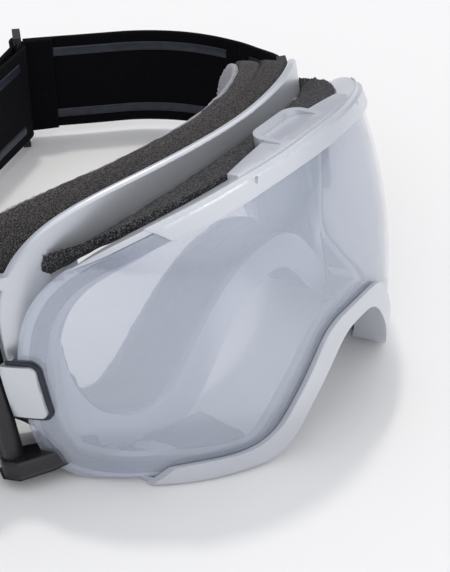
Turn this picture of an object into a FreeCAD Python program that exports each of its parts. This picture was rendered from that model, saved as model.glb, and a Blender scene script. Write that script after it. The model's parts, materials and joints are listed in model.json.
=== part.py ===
import FreeCAD, Part
import math
import os
from functools import lru_cache
from FreeCAD import Placement, Rotation, Vector

# Ski goggles lying on a table with the strap loop behind them.
#
# The goggles are drawn upright: the lens apex is the origin, +X is the wearer's left,
# +Y runs back to the face and +Z is up. GOGGLES then tips them back onto their lower rim.
# The strap is drawn level, standing on its edge, and STRAP only moves it.

os.makedirs("parts", exist_ok=True)
doc = FreeCAD.newDocument("ski_goggles")
sheet = doc.addObject("Spreadsheet::Sheet", "Sizes")

SIZES = [
    ("origin_shift_x", -20.79, "moves the lens apex to the middle of the whole part"),
    ("origin_shift_y", -112.62, "moves the lens apex to the front of the whole part"),
    ("origin_shift_up", 56.85, "height of the lens apex over the table"),
    ("tilt", 11.0, "degrees that the goggles lean back on their lower rim"),
    ("lens_wrap_radius", 92.0, "horizontal radius of the lens"),
    ("lens_rise_radius", 177.5, "vertical radius of the lens"),
    ("outer_lens_thickness", 1.2, ""),
    ("gasket_thickness", 2.0, "air gap of the double lens"),
    ("inner_lens_thickness", 0.8, ""),
    ("lens_gap", 0.15, "gap between stacked lens parts"),
    ("trim_thickness", 1.9, "brow, nose and side trims over the lens"),
    ("frame_depth", 7.0, "depth of the front ring behind the lens surface"),
    ("wall", 2.6, "wall of the front frame"),
    ("face_radius", 117.4, "horizontal radius of the face flange"),
    ("face_setback", 36.0, "flange behind the lens apex at the middle"),
    ("flange_thickness", 3.0, ""),
    ("flange_width", 12.5, ""),
    ("foam_base_depth", 10.0, ""),
    ("foam_comfort_depth", 8.5, ""),
    ("fleece_depth", 2.0, ""),
    ("foam_width", 15.5, ""),
    ("vent_foam_thickness", 4.0, ""),
    ("pin_radius", 1.5, "hinge pins of the outriggers"),
    ("pin_clearance", 0.06, ""),
    ("pin_offset_x", 92.5, ""),
    ("pin_offset_y", 79.6, ""),
    ("knuckle_radius", 3.5, ""),
    ("lug_low", -37.0, "underside of the lower hinge lug"),
    ("lug_high", 31.0, "top of the upper hinge lug"),
    ("lug_height", 4.0, ""),
    ("outrigger_length", 30.0, ""),
    ("outrigger_thickness", 4.0, ""),
    ("outrigger_play", 0.4, "gap between the outrigger and each lug"),
    ("splay_left", 12.0, "degrees that the left outrigger stands out at rest"),
    ("splay_right", 52.0, "degrees that the right outrigger stands out at rest"),
    ("strap_height", 46.0, "width of the elastic webbing"),
    ("strap_thickness", 1.8, ""),
    ("strap_hover", 5.0, "lower strap edge over the table"),
    ("grip_height", 4.5, "height of a silicone grip line"),
    ("grip_thickness", 0.4, ""),
    ("grip_inset", 5.0, "grip line in from the strap's edge"),
    ("ring_bar", 3.0, "bars of the strap ring and the slider"),
    ("ring_gap", 5.0, "slot between two bars"),
]
for row, (alias, value, note) in enumerate(SIZES, start=1):
    sheet.set(f"A{row}", alias)
    sheet.set(f"B{row}", str(value))
    sheet.set(f"C{row}", note)
    sheet.setAlias(f"B{row}", alias)
doc.recompute()


def size(alias):
    """The value of one named size."""
    return float(getattr(sheet, alias))


WRAP = size("lens_wrap_radius")
RISE = size("lens_rise_radius")
UP = Vector(0, 0, 1)
SIDES = [("left", -1), ("right", 1)]
HALF_HEIGHT = 64.0
FAR = 130.0

TABLE = Vector(size("origin_shift_x"), size("origin_shift_y"), size("origin_shift_up"))
STRAP = Placement(Vector(TABLE.x, TABLE.y, 0), Rotation())
GOGGLES = Placement(TABLE, Rotation(Vector(1, 0, 0), -size("tilt")))

parts = []


def finish(feature, label, placement=GOGGLES):
    """Name a finished sub-part and put it in its place."""
    feature.Label = label
    feature.Placement = placement
    parts.append(feature)
    return feature


def add_shape(shape, label, placement=GOGGLES):
    """A sub-part whose surface needs Part's own functions."""
    feature = doc.addObject("Part::Feature", label)
    feature.Shape = shape
    return finish(feature, label, placement)


# ---------------------------------------------------------------- lens surfaces

def lens_profile(offset):
    """Half profile of the lens at x = 0, moved out by offset, as an arc in the YZ plane."""
    radius = RISE + offset
    points = []
    for height in (-HALF_HEIGHT, 0.0, HALF_HEIGHT):
        points.append(Vector(0, RISE - math.sqrt(radius ** 2 - height ** 2), height))
    return Part.Arc(*points).toShape()


@lru_cache(maxsize=None)
def lens_solid(offset):
    """Everything behind the lens surface moved out by offset."""
    arc = lens_profile(offset)
    low, high = arc.Vertexes[0].Point, arc.Vertexes[-1].Point
    axis_low, axis_high = Vector(0, WRAP, low.z), Vector(0, WRAP, high.z)
    edges = [arc]
    for start, end in ((high, axis_high), (axis_high, axis_low), (axis_low, low)):
        edges.append(Part.makeLine(start, end))
    face = Part.Face(Part.Wire(edges))
    return face.revolve(Vector(0, WRAP, 0), UP, 360)


@lru_cache(maxsize=None)
def lens_shell(outer, inner):
    """Shell between two offsets of the lens surface, outer first."""
    return lens_solid(outer).cut(lens_solid(inner))


def sag(height):
    """How far the lens profile falls back at a height."""
    return RISE - math.sqrt(RISE ** 2 - height ** 2)


@lru_cache(maxsize=None)
def face_solid(offset):
    """Everything in front of the flange's front face, moved back by offset."""
    centre = size("face_setback") + size("face_radius")
    block = Part.makeBox(2 * FAR, centre + 40, 2 * HALF_HEIGHT, Vector(-FAR, -40, -HALF_HEIGHT))
    drum = Part.makeCylinder(size("face_radius") - offset, 2 * HALF_HEIGHT,
                             Vector(0, centre, -HALF_HEIGHT))
    return block.cut(drum)


def face_y(across, offset=0.0):
    """Depth of the flange's front face, moved back by offset."""
    centre = size("face_setback") + size("face_radius")
    return centre - math.sqrt((size("face_radius") - offset) ** 2 - across ** 2)


# ---------------------------------------------------------------- outlines

# Front view of the frame's edge, from the top middle round to the bottom middle, as
# (across, height). It runs on past the sides, where the side view takes over.
FRONT_TOP = [(0, 51.5), (16, 50.7), (32, 49.2), (46, 46.8), (59, 43.7), (70, 39.8)]
FRONT_TOP_END = (104, 25)
FRONT_BOTTOM_END = (104, -43)
FRONT_BOTTOM = [(70, -49.0), (60, -51.3), (48, -52.6), (38, -52.2), (32, -47.5), (26, -37.5),
                (20, -29), (14.2, -21.7), (8, -17), (0, -15.8)]
# Side view of the same edge, as (depth, height).
SIDE = [(38, 40.6), (47, 36.4), (53, 32.7), (58.6, 27.7), (63, 22), (67, 13.5), (69.7, 3.8),
        (72, -12), (73.2, -26), (72.4, -34), (69, -40.3), (63.5, -44), (56, -46.8), (43.4, -49.2)]
SIDE_FRONT_TOP = (-20, 62)
SIDE_FRONT_BOTTOM = (-20, -62)
# Rim of the face flange in the front view.
FACE_TOP = [(0, 52), (25, 51.8), (45, 50.6), (60, 48.3), (72, 43.6), (80.5, 35.5), (86, 23),
            (87.8, 6), (87, -12), (83.5, -25), (77, -35), (67, -41.5), (56, -43.5), (46, -41),
            (38, -35), (30, -26), (22, -17.5), (14, -11.5), (7, -8.7), (0, -8)]


def inset(points, distance):
    """Move an open outline towards its right-hand side, seen along its own direction."""
    moved = []
    for index, (u, v) in enumerate(points):
        before = points[max(index - 1, 0)]
        after = points[min(index + 1, len(points) - 1)]
        du, dv = after[0] - before[0], after[1] - before[1]
        length = math.hypot(du, dv)
        moved.append((u + distance * dv / length, v - distance * du / length))
    return moved


def curve(points):
    """A smooth edge through 3D points."""
    spline = Part.BSplineCurve()
    spline.interpolate(points)
    return spline.toShape()


def prism(edges, direction):
    """Solid swept straight from a closed loop of edges."""
    return Part.Face(Part.Wire(Part.__sortEdges__(edges))).extrude(direction)


@lru_cache(maxsize=None)
def front_prism(top_inset, bottom_inset, y_low=-20.0, y_high=110.0):
    """Front outline pushed along Y, with its top and bottom brought in."""
    top = inset(FRONT_TOP, top_inset)
    bottom = inset(FRONT_BOTTOM, bottom_inset)
    top[0], bottom[-1] = (0, top[0][1]), (0, bottom[-1][1])
    top_end = (FRONT_TOP_END[0], FRONT_TOP_END[1] - top_inset)
    bottom_end = (FRONT_BOTTOM_END[0], FRONT_BOTTOM_END[1] + bottom_inset)
    upper = [(-u, v) for u, v in reversed(top[1:])] + top
    lower = bottom + [(-u, v) for u, v in reversed(bottom[:-1])]

    def place(point):
        return Vector(point[0], y_low, point[1])

    edges = [curve([place(p) for p in upper]), curve([place(p) for p in lower])]
    for sign in (1, -1):
        corners = [top[-1], top_end, bottom_end, bottom[0]]
        corners = [place((sign * u, v)) for u, v in corners]
        edges += [Part.makeLine(a, b) for a, b in zip(corners, corners[1:])]
    return prism(edges, Vector(0, y_high - y_low, 0))


@lru_cache(maxsize=None)
def side_prism(distance):
    """Side outline pushed along X, brought in by a distance."""
    points = [Vector(-FAR, y, z) for y, z in inset(SIDE, distance)]
    front = [Vector(-FAR, y, z) for y, z in (SIDE_FRONT_BOTTOM, SIDE_FRONT_TOP)]
    edges = [curve(points), Part.makeLine(points[-1], front[0]),
             Part.makeLine(front[0], front[1]), Part.makeLine(front[1], points[0])]
    return prism(edges, Vector(2 * FAR, 0, 0))


@lru_cache(maxsize=None)
def face_prism(distance, y_low=0.0, y_high=130.0):
    """Flange rim pushed along Y, brought in by a distance."""
    half = inset(FACE_TOP, distance)
    half[0], half[-1] = (0, half[0][1]), (0, half[-1][1])
    loop = half + [(-u, v) for u, v in reversed(half[1:-1])]
    spline = Part.BSplineCurve()
    spline.interpolate([Vector(u, y_low, v) for u, v in loop], PeriodicFlag=True)
    return prism([spline.toShape()], Vector(0, y_high - y_low, 0))


@lru_cache(maxsize=None)
def outline(top_inset, bottom_inset, side_inset):
    """Everything inside the frame's edge, brought in at the top, bottom and sides."""
    return front_prism(top_inset, bottom_inset).common(side_prism(side_inset))


def band(x_low, x_high, z_low, z_high):
    """A box-shaped zone across the front, in front of the flange."""
    return Part.makeBox(x_high - x_low, 140, z_high - z_low, Vector(x_low, -30, z_low))


# ---------------------------------------------------------------- lens stack

GAP = size("lens_gap")
OUTER_BACK = -size("outer_lens_thickness")
GASKET_FRONT = OUTER_BACK - GAP
GASKET_BACK = GASKET_FRONT - size("gasket_thickness")
INNER_FRONT = GASKET_BACK - GAP
INNER_BACK = INNER_FRONT - size("inner_lens_thickness")
SEAT = INNER_BACK - GAP
RING_BACK = -size("frame_depth")
WALL = size("wall")
GASKET_EDGE = 3.4
GASKET_WIDTH = 4.0
WINDOW_EDGE = 9.0
LENS_SIDE_EDGE = 0.3

lens_edge = outline(WALL, WALL + 0.3, LENS_SIDE_EDGE)
add_shape(lens_shell(0, OUTER_BACK).common(lens_edge), "outer_lens")

gasket_edge = outline(GASKET_EDGE, GASKET_EDGE + 0.3, GASKET_EDGE)
gasket_inside = GASKET_EDGE + GASKET_WIDTH
gasket_hole = outline(gasket_inside, gasket_inside, gasket_inside)
add_shape(lens_shell(GASKET_FRONT, GASKET_BACK).common(gasket_edge).cut(gasket_hole), "lens_gasket")
add_shape(lens_shell(INNER_FRONT, INNER_BACK).common(gasket_edge), "inner_lens")

# ---------------------------------------------------------------- front frame

window = outline(WINDOW_EDGE, WINDOW_EDGE - 1, WINDOW_EDGE)
seat_edge = outline(GASKET_EDGE - GAP, GASKET_EDGE + 0.3 - GAP, GASKET_EDGE - GAP)
FRAME_SIDE_EDGE = 1.0
LIP_HALF = 86.0
STEP_DOWN = 1.2
STEP_BEHIND = -3.2
DECK_FLOOR = 35.0
DECK_DEPTH = 19.0
DECK_HALF = 33.0
PAD_HALF = 13.0
PAD_FRONT = 12.0
PAD_BACK = 25.0
PAD_CORNER = 6.0
PAD_RIM = 2.2
PAD_SLOPE = [(PAD_FRONT, 48.0), (PAD_FRONT, 51.2), (PAD_BACK + 1, 52.5), (PAD_BACK + 1, 48.0)]
SCOOP_SLOPE = [(PAD_FRONT + 1.5, 60.0), (PAD_FRONT + 1.5, 51.3), (PAD_BACK, 49.9), (PAD_BACK, 60.0)]
FLANGE_GAP = 0.2


def top_layer(outer, inner):
    """Layer along the frame's top edge, between two distances in from it."""
    return front_prism(outer, 0).cut(front_prism(inner, 0)).common(band(-FAR, FAR, 25, 60))


def pad_plan(distance):
    """Plan of the thumb pad pushed up, brought in by a distance, with its rear corners rounded."""
    half, back = PAD_HALF - distance, PAD_BACK - distance
    block = Part.makeBox(2 * half, back, 30, Vector(-half, 0, DECK_FLOOR))
    rear = [e for e in block.Edges
            if abs(e.tangentAt(e.FirstParameter).z) > 0.9 and abs(e.Vertexes[0].Y - back) < 0.01]
    return block.makeFillet(PAD_CORNER - distance, rear)


def crosswise(points):
    """Side-view polygon pushed along X over the pad."""
    loop = Part.makePolygon([Vector(-PAD_HALF, y, z) for y, z in points + points[:1]])
    return Part.Face(loop).extrude(Vector(2 * PAD_HALF, 0, 0))


def front_frame():
    """Front ring with its lens seat, the lip round the top, the deck and its thumb pad."""
    edge = outline(0, WALL, FRAME_SIDE_EDGE)
    ring = lens_shell(GASKET_FRONT, RING_BACK).common(edge)
    ring = ring.cut(lens_shell(1, SEAT).common(seat_edge))
    ring = ring.cut(window)
    sides = top_layer(0, STEP_DOWN).common(lens_solid(STEP_BEHIND))
    ring = ring.cut(sides.cut(band(-DECK_HALF, DECK_HALF, 25, 60)))
    lip = lens_shell(0.1, GASKET_FRONT - 0.1).common(top_layer(0, WALL - 0.4))
    lip = lip.common(side_prism(FRAME_SIDE_EDGE)).common(band(-LIP_HALF, LIP_HALF, 20, 60))
    plan = Part.makeBox(2 * DECK_HALF, DECK_DEPTH, 30, Vector(-DECK_HALF, 0, DECK_FLOOR))
    deck = top_layer(0, WALL + 0.6).common(plan.fuse(pad_plan(0))).common(lens_solid(GASKET_FRONT))
    pad = crosswise(PAD_SLOPE).common(pad_plan(0))
    scoop = crosswise(SCOOP_SLOPE).common(pad_plan(PAD_RIM))
    frame = ring.fuse([lip, deck, pad]).cut(scoop)
    return frame.common(face_solid(-FLANGE_GAP)).removeSplitter()


add_shape(front_frame(), "front_frame")

# ---------------------------------------------------------------- trims over the lens

TRIM = size("trim_thickness")
TRIM_START = -20.0
TRIM_REACH = 100.0
BROW_EDGE = [(58, 38), (42.5, 40.8), (27.5, 43.4), (12, 44.8), (0, 45)]
BROW_END = [(58, 38), (62, 43), (62, 60)]
NOSE_EDGE = [(67, -42.9), (55, -44), (44, -44), (39, -41.4), (34, -35), (27, -24.5),
             (22.4, -18), (17.3, -12.6), (12, -10.2), (6, -9.4), (0, -9.2)]
NOSE_END = [(67, -42.9), (71, -48.6), (71, -70)]
NOSE_WALL = 2.2
NOSE_DEPTH = 10.5
NOTCH_X = 31.0
NOTCH_HALF = 3.2
NOTCH_DEPTH = 3.4
NOTCH_FLOOR = 0.9
BEVEL = 1.5


def region(edge, rim):
    """Symmetric front-view shape pushed along Y, between a curve and straight lines.

    edge is the curve's right-hand half, ending on the middle line, and rim runs on
    from its outer end.
    """
    points = [Vector(-u, TRIM_START, v) for u, v in edge[:-1]]
    points += [Vector(u, TRIM_START, v) for u, v in reversed(edge)]
    lines = [Vector(u, TRIM_START, v) for u, v in rim]
    lines += [Vector(-u, TRIM_START, v) for u, v in reversed(rim)]
    edges = [curve(points)] + [Part.makeLine(a, b) for a, b in zip(lines, lines[1:])]
    return prism(edges, Vector(0, TRIM_REACH, 0))


def brow_band():
    """Trim that holds the lens along its top, with bevelled top and a notch each side."""
    shape = region(BROW_EDGE, BROW_END)
    face = shape.common(front_prism(0, 0))
    bevelled = shape.common(front_prism(BEVEL, 0))
    shoulder = TRIM - BEVEL + 0.3
    trim = lens_shell(TRIM, shoulder).common(bevelled).fuse(lens_shell(shoulder, GAP).common(face))
    top = max(v for u, v in FRONT_TOP if u >= NOTCH_X)
    for sign in (-1, 1):
        corners = [(sign * NOTCH_X - NOTCH_HALF, top + 2), (sign * NOTCH_X + NOTCH_HALF, top + 2),
                   (sign * NOTCH_X, top - NOTCH_DEPTH)]
        loop = Part.makePolygon([Vector(u, TRIM_START, v) for u, v in corners + corners[:1]])
        groove = Part.Face(loop).extrude(Vector(0, TRIM_REACH, 0))
        trim = trim.cut(groove.common(lens_shell(TRIM + 1, NOTCH_FLOOR)))
    return trim


def nose_band():
    """Trim round the lens's lower edge and over the nose, with a wall that runs back."""
    edge = front_prism(-20, 0)
    trim = lens_shell(TRIM, GAP).common(region(NOSE_EDGE, NOSE_END)).common(edge)
    reach = NOSE_END[-1][0] - 1
    wall = edge.cut(front_prism(-30, NOSE_WALL)).common(band(-reach, reach, -60, -10))
    wall = wall.common(lens_shell(TRIM, -NOSE_DEPTH))
    return trim.fuse(wall).common(side_prism(0)).common(face_solid(-FLANGE_GAP)).removeSplitter()


add_shape(brow_band(), "brow_band")
add_shape(nose_band(), "nose_band")

CLIP_FRONT = 63.0
CLIP_BACK = 75.2
CLIP_LOW = -16.5
CLIP_HIGH = 3.0
CLIP_HOOK = 73.5
CLIP_CORNER = 2.5
PAD_BORDER = 1.4


def side_plate(border, y_high, corner):
    """Rounded plate in the side view round the lens clip, reaching both ways along X."""
    low, high = CLIP_LOW - border, CLIP_HIGH + border
    front = CLIP_FRONT - border
    block = Part.makeBox(2 * FAR, y_high - front, high - low, Vector(-FAR, front, low))
    edges = [e for e in block.Edges if abs(e.tangentAt(e.FirstParameter).x) > 0.9]
    front_edges = [e for e in edges if abs(e.Vertexes[0].Y - front) < 0.01]
    return block.makeFillet(corner, front_edges)


plate = side_plate(0, CLIP_BACK, CLIP_CORNER)
hook = plate.common(Part.makeBox(2 * FAR, 20, 60, Vector(-FAR, CLIP_HOOK, -30)))
clips = lens_shell(TRIM, GAP).common(plate).fuse(lens_shell(TRIM, -3.5).common(hook))
border = side_plate(PAD_BORDER, CLIP_HOOK - 0.3, CLIP_CORNER + PAD_BORDER)
pads = lens_shell(TRIM / 2, GAP).common(border.cut(side_plate(0.1, CLIP_BACK, CLIP_CORNER)))
for side, sign in SIDES:
    half_space = Part.makeBox(FAR, 2 * FAR, 2 * FAR, Vector(0 if sign > 0 else -FAR, -FAR, -FAR))
    add_shape(clips.common(half_space).common(face_solid(-FLANGE_GAP)), f"lens_clip_{side}")
    add_shape(pads.common(half_space), f"clip_pad_{side}")

# ---------------------------------------------------------------- face flange

above = Part.makeBox(4 * FAR, 4 * FAR, 4 * FAR, Vector(-2 * FAR, -2 * FAR, 0))
above.Placement = GOGGLES.inverse() * above.Placement
STRUT_HALF = 2.5
STRUT_HEIGHT = 3.0
STRUTS = [(46, 36.0), (0, 40.5), (-46, 36.0), (62, -43.5), (-62, -43.5)]
FLANGE = size("flange_thickness")
FLANGE_WIDTH = size("flange_width")
RIM_FILLET = 1.2
PIN_X = size("pin_offset_x")
PIN_Y = size("pin_offset_y")
LUG_RADIUS = 4.2
LUG_PLAN = [(66, 56), (PIN_X - 4, 69), (PIN_X + 2.6, PIN_Y - 3.3), (PIN_X - 3.2, PIN_Y + 2.7),
            (84.8, 77.0), (70, 63.5)]
LUG_HEIGHT = size("lug_height")


@lru_cache(maxsize=None)
def face_shell(front, back):
    """Curved plate between two distances behind the flange's front face."""
    return face_solid(back).cut(face_solid(front))


def lug(sign, low):
    """Flat lug that reaches from the flange's edge out to a hinge pin."""
    points = [Vector(sign * u, v, low) for u, v in LUG_PLAN + LUG_PLAN[:1]]
    plan = Part.Face(Part.makePolygon(points)).extrude(Vector(0, 0, LUG_HEIGHT))
    eye = Part.makeCylinder(LUG_RADIUS, LUG_HEIGHT, Vector(sign * PIN_X, PIN_Y, low))
    hole = Part.makeCylinder(size("pin_radius") + size("pin_clearance"), 3 * LUG_HEIGHT,
                             Vector(sign * PIN_X, PIN_Y, low - LUG_HEIGHT))
    return plan.cut(face_solid(0)).fuse(eye).cut(hole)


def face_flange():
    """Rear ring with a rounded rim, which the foam is glued to."""
    ring = face_prism(0).cut(face_prism(FLANGE_WIDTH)).common(face_shell(0, FLANGE))
    rim = [edge for edge in ring.Edges if edge.Length > 300 and edge.BoundBox.XLength > 170]
    return ring.makeFillet(RIM_FILLET, rim)


def vent_bridges():
    """Short bars across the vents that join the front frame to the flange."""
    gap_zone = lens_solid(RING_BACK - 0.05).common(face_solid(-0.05))
    bars = []
    for x, z in STRUTS:
        bar = Part.makeBox(2 * STRUT_HALF, 90, STRUT_HEIGHT, Vector(x - STRUT_HALF, 0, z))
        bars.append(bar.common(gap_zone))
    return Part.makeCompound(bars)


add_shape(face_flange(), "face_flange")
bridges = vent_bridges()
add_shape(bridges, "vent_bridges")
LUGS = {}
for side, sign in SIDES:
    LUGS[side] = [lug(sign, size("lug_low")), lug(sign, size("lug_high") - LUG_HEIGHT)]
    add_shape(Part.makeCompound(LUGS[side]), f"hinge_lugs_{side}")

# ---------------------------------------------------------------- foams

LAYER_GAP = 0.1
FOAM_WIDTH = size("foam_width")
FOAM_CLEAR = 0.35


def foam_ring(front, depth, outer_inset, inner_inset):
    """One layer of the face foam, between two depths behind the flange."""
    ring = face_prism(outer_inset, 0, 150).cut(face_prism(inner_inset, 0, 150))
    return ring.common(face_shell(front, front + depth)).common(above)


depth = FLANGE + LAYER_GAP
base = foam_ring(depth, size("foam_base_depth"), 1.0, FOAM_WIDTH)
add_shape(base.cut(LUGS["left"] + LUGS["right"]), "face_foam_base")
depth += size("foam_base_depth") + LAYER_GAP
add_shape(foam_ring(depth, size("foam_comfort_depth"), 2.0, FOAM_WIDTH + 0.5), "face_foam_comfort")
depth += size("foam_comfort_depth") + LAYER_GAP
add_shape(foam_ring(depth, size("fleece_depth"), 3.5, FOAM_WIDTH), "face_fleece")

VENT_THICKNESS = size("vent_foam_thickness")
VENT_DROP = 1.2
VENT_FALL = 5.5
VENT_STATIONS = [-78, -70, -60, -50, -40, -26, -12, 0, 12, 26, 40, 50, 60, 70, 78]
BOTTOM_STATIONS = [40, 50, 60, 68]
BOTTOM_VENT = -46.0


def front_top(across):
    """Height of the frame's top edge at a place."""
    for (u0, v0), (u1, v1) in zip(FRONT_TOP, FRONT_TOP[1:] + [FRONT_TOP_END]):
        if u0 <= abs(across) <= u1:
            return v0 + (v1 - v0) * (abs(across) - u0) / (u1 - u0)
    return FRONT_TOP_END[1]


def ring_back_y(across, height):
    """Depth of the front ring's back at a place, with the foam's clearance."""
    ring = WRAP + RING_BACK - sag(height)
    return WRAP - math.sqrt(ring ** 2 - across ** 2) + FOAM_CLEAR


def foam_strip(sections):
    """Ruled solid through slices, each given as across and its four (depth, height) corners."""
    wires = []
    for across, corners in sections:
        wires.append(Part.makePolygon([Vector(across, y, z) for y, z in corners + corners[:1]]))
    return Part.makeLoft(wires, True, True)


def vent_foam_top():
    """Open-cell foam strip over the top vents, sloping down to the flange."""
    sections = []
    for across in VENT_STATIONS:
        front_z = front_top(across) - VENT_DROP
        front, rear = ring_back_y(across, front_z), face_y(across)
        rear_z = front_z - VENT_FALL
        sections.append((across, [(front, front_z), (rear, rear_z), (rear, rear_z - VENT_THICKNESS),
                                  (front, front_z - VENT_THICKNESS)]))
    strip = foam_strip(sections).common(face_solid(-FOAM_CLEAR))
    half = DECK_HALF + FOAM_CLEAR
    deck = Part.makeBox(2 * half, DECK_DEPTH + FOAM_CLEAR, 30, Vector(-half, 0, DECK_FLOOR))
    return strip.cut([deck, pad_plan(-FOAM_CLEAR), bridges] + LUGS["left"] + LUGS["right"])


add_shape(vent_foam_top(), "vent_foam_top")


def vent_foam_bottom(sign):
    """Foam strip under the lower vents on one side."""
    sections = []
    for across in BOTTOM_STATIONS:
        front, rear = ring_back_y(across, BOTTOM_VENT), face_y(across)
        sections.append((sign * across, [(front, BOTTOM_VENT), (rear, BOTTOM_VENT + 5),
                                         (rear, BOTTOM_VENT + 7), (front, BOTTOM_VENT + 2)]))
    return foam_strip(sections).common(face_solid(-FOAM_CLEAR)).cut(bridges)


for side, sign in SIDES:
    add_shape(vent_foam_bottom(sign), f"vent_foam_bottom_{side}")

# ---------------------------------------------------------------- outriggers and hinge pins

ARM_LOW = "Sizes.lug_low + Sizes.lug_height + Sizes.outrigger_play"
ARM_HIGH = "Sizes.lug_high - Sizes.lug_height - Sizes.outrigger_play"
ARM_TALL = f"({ARM_HIGH}) - ({ARM_LOW})"
SLOT_TALL = "Sizes.strap_height + 3"
BAR_HALF = 1.3
RELIEF = 2.7


def primitive(kind, name, values, base=(0, 0, 0)):
    """A Part primitive whose sizes, and whose corner's place, are bound to the sheet."""
    feature = doc.addObject(f"Part::{kind}", name)
    for prop, value in values.items():
        feature.setExpression(prop, str(value))
    for axis, value in zip("xyz", base):
        feature.setExpression(f"Placement.Base.{axis}", str(value))
    return feature


def boolean(kind, name, first, second):
    """Cut or Fuse of two features."""
    feature = doc.addObject(f"Part::{kind}", name)
    feature.Base = first
    feature.Tool = second
    return feature


def outrigger(side, sign):
    """Plastic arm with a hinge knuckle at one end and a strap bar at the other."""
    thick = "Sizes.outrigger_thickness"
    plate = primitive("Box", f"arm_plate_{side}",
                      {"Length": thick, "Width": "Sizes.outrigger_length + 0.2", "Height": ARM_TALL},
                      (f"-{thick} / 2", 0, ARM_LOW))
    knuckle = primitive("Cylinder", f"arm_knuckle_{side}",
                        {"Radius": "Sizes.knuckle_radius", "Height": ARM_TALL}, (0, 0, ARM_LOW))
    middle = "(Sizes.lug_low + Sizes.lug_high) / 2"
    slot = primitive("Box", f"arm_slot_{side}",
                     {"Length": 8, "Width": 6, "Height": SLOT_TALL},
                     (-4, "Sizes.outrigger_length - 9", f"{middle} - ({SLOT_TALL}) / 2"))
    hole = primitive("Cylinder", f"arm_hole_{side}",
                     {"Radius": "Sizes.pin_radius + Sizes.pin_clearance", "Height": 90}, (0, 0, -45))
    body = boolean("Fuse", f"arm_body_{side}", plate, knuckle)
    body = boolean("Cut", f"arm_slotted_{side}", body, slot)
    for face, place in (("inner", -BAR_HALF - RELIEF), ("outer", BAR_HALF)):
        relief = primitive("Box", f"arm_relief_{face}_{side}",
                           {"Length": RELIEF, "Width": 12, "Height": SLOT_TALL},
                           (place, "Sizes.outrigger_length - 4", f"{middle} - ({SLOT_TALL}) / 2"))
        body = boolean("Cut", f"arm_{face}_{side}", body, relief)
    body = boolean("Cut", f"outrigger_{side}", body, hole)
    return finish(body, f"outrigger_{side}", hinge_frame(side, sign))


def hinge_frame(side, sign):
    """Place of an outrigger: its pin, turned out by its splay at rest."""
    turn = Placement(Vector(sign * PIN_X, PIN_Y, 0), Rotation(UP, -sign * size(f"splay_{side}")))
    return GOGGLES * turn


def hinge_pin(side, sign):
    """Headed steel pin through both lugs and the outrigger."""
    length = "Sizes.lug_high - Sizes.lug_low + 1"
    shaft = primitive("Cylinder", f"pin_shaft_{side}", {"Radius": "Sizes.pin_radius", "Height": length},
                      (0, 0, "Sizes.lug_low - 1"))
    head = primitive("Cylinder", f"pin_head_{side}", {"Radius": "Sizes.pin_radius * 1.8", "Height": 1.2},
                     (0, 0, "Sizes.lug_high"))
    pin = boolean("Fuse", f"hinge_pin_{side}", shaft, head)
    return finish(pin, f"hinge_pin_{side}", hinge_frame(side, sign))


for side, sign in SIDES:
    outrigger(side, sign)
    hinge_pin(side, sign)

# ---------------------------------------------------------------- strap

STRAP_HEIGHT = size("strap_height")
WEB = size("strap_thickness")
HOVER = size("strap_hover")
REST_MIDDLE = HOVER + STRAP_HEIGHT / 2
ARM_MIDDLE = (size("lug_low") + size("lug_high")) / 2
ARM_REACH = size("outrigger_length") + 2.2
LEAN = GOGGLES.Rotation.multVec(UP)
SETTLE = 45.0
TURN_STEP = 12.0


def direction(heading):
    """Level unit vector along a heading, in degrees from +X."""
    return Vector(math.cos(math.radians(heading)), math.sin(math.radians(heading)), 0)


class Track:
    """Plan path of the webbing, made of straight runs and arcs, walked as stations."""

    def __init__(self, x, y, heading):
        self.x, self.y, self.heading = x, y, heading
        self.stations = [(x, y, heading, 0.0)]

    def step(self, length, turn):
        """Move along a chord whose heading is halfway through the turn."""
        middle = math.radians(self.heading + turn / 2)
        self.x += length * math.cos(middle)
        self.y += length * math.sin(middle)
        self.heading += turn
        walked = self.stations[-1][3] + length
        self.stations.append((self.x, self.y, self.heading, walked))

    def straight(self, length):
        self.step(length, 0)
        return self

    def arc(self, radius, turn):
        count = math.ceil(abs(turn) / TURN_STEP)
        part_turn = turn / count
        for _ in range(count):
            self.step(2 * radius * math.sin(math.radians(abs(part_turn)) / 2), part_turn)
        return self


def arm_end(side, sign):
    """World place of the strap bar of an outrigger."""
    return hinge_frame(side, sign).multVec(Vector(0, ARM_REACH, ARM_MIDDLE))


def section(station, arm, low, high, inner, outer):
    """Closed rectangle across the webbing; inner and outer are measured to the loop's inside.

    arm is the walk and the height at which the webbing meets its outrigger.
    """
    x, y, heading, walked = station
    share = min(abs(walked - arm[0]) / SETTLE, 1.0)
    share = share * share * (3 - 2 * share)
    up = (LEAN * (1 - share) + UP * share).normalize()
    across = direction(heading + 90)
    centre = Vector(x, y, arm[1] * (1 - share) + REST_MIDDLE * share)
    corners = [centre + up * a + across * b for a, b in
               ((low, inner), (high, inner), (high, outer), (low, outer))]
    return Part.makePolygon(corners + corners[:1])


def webbing(stations, arm):
    """Flat webbing through the stations."""
    wires = [section(s, arm, -HALF, HALF, -WEB / 2, WEB / 2) for s in stations]
    return Part.makeLoft(wires, True, True)


HALF = STRAP_HEIGHT / 2
GRIP = size("grip_height")
GRIP_OFF = 0.05
GRIP_LEVELS = [-HALF + size("grip_inset"), HALF - size("grip_inset") - GRIP]


def grip_lines(stations, arm):
    """Two silicone lines on the inside of the webbing."""
    inner = WEB / 2 + GRIP_OFF
    lines = []
    for low in GRIP_LEVELS:
        wires = [section(s, arm, low, low + GRIP, inner, inner + size("grip_thickness")) for s in stations]
        lines.append(Part.makeLoft(wires, True, True))
    return Part.makeCompound(lines)


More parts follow.
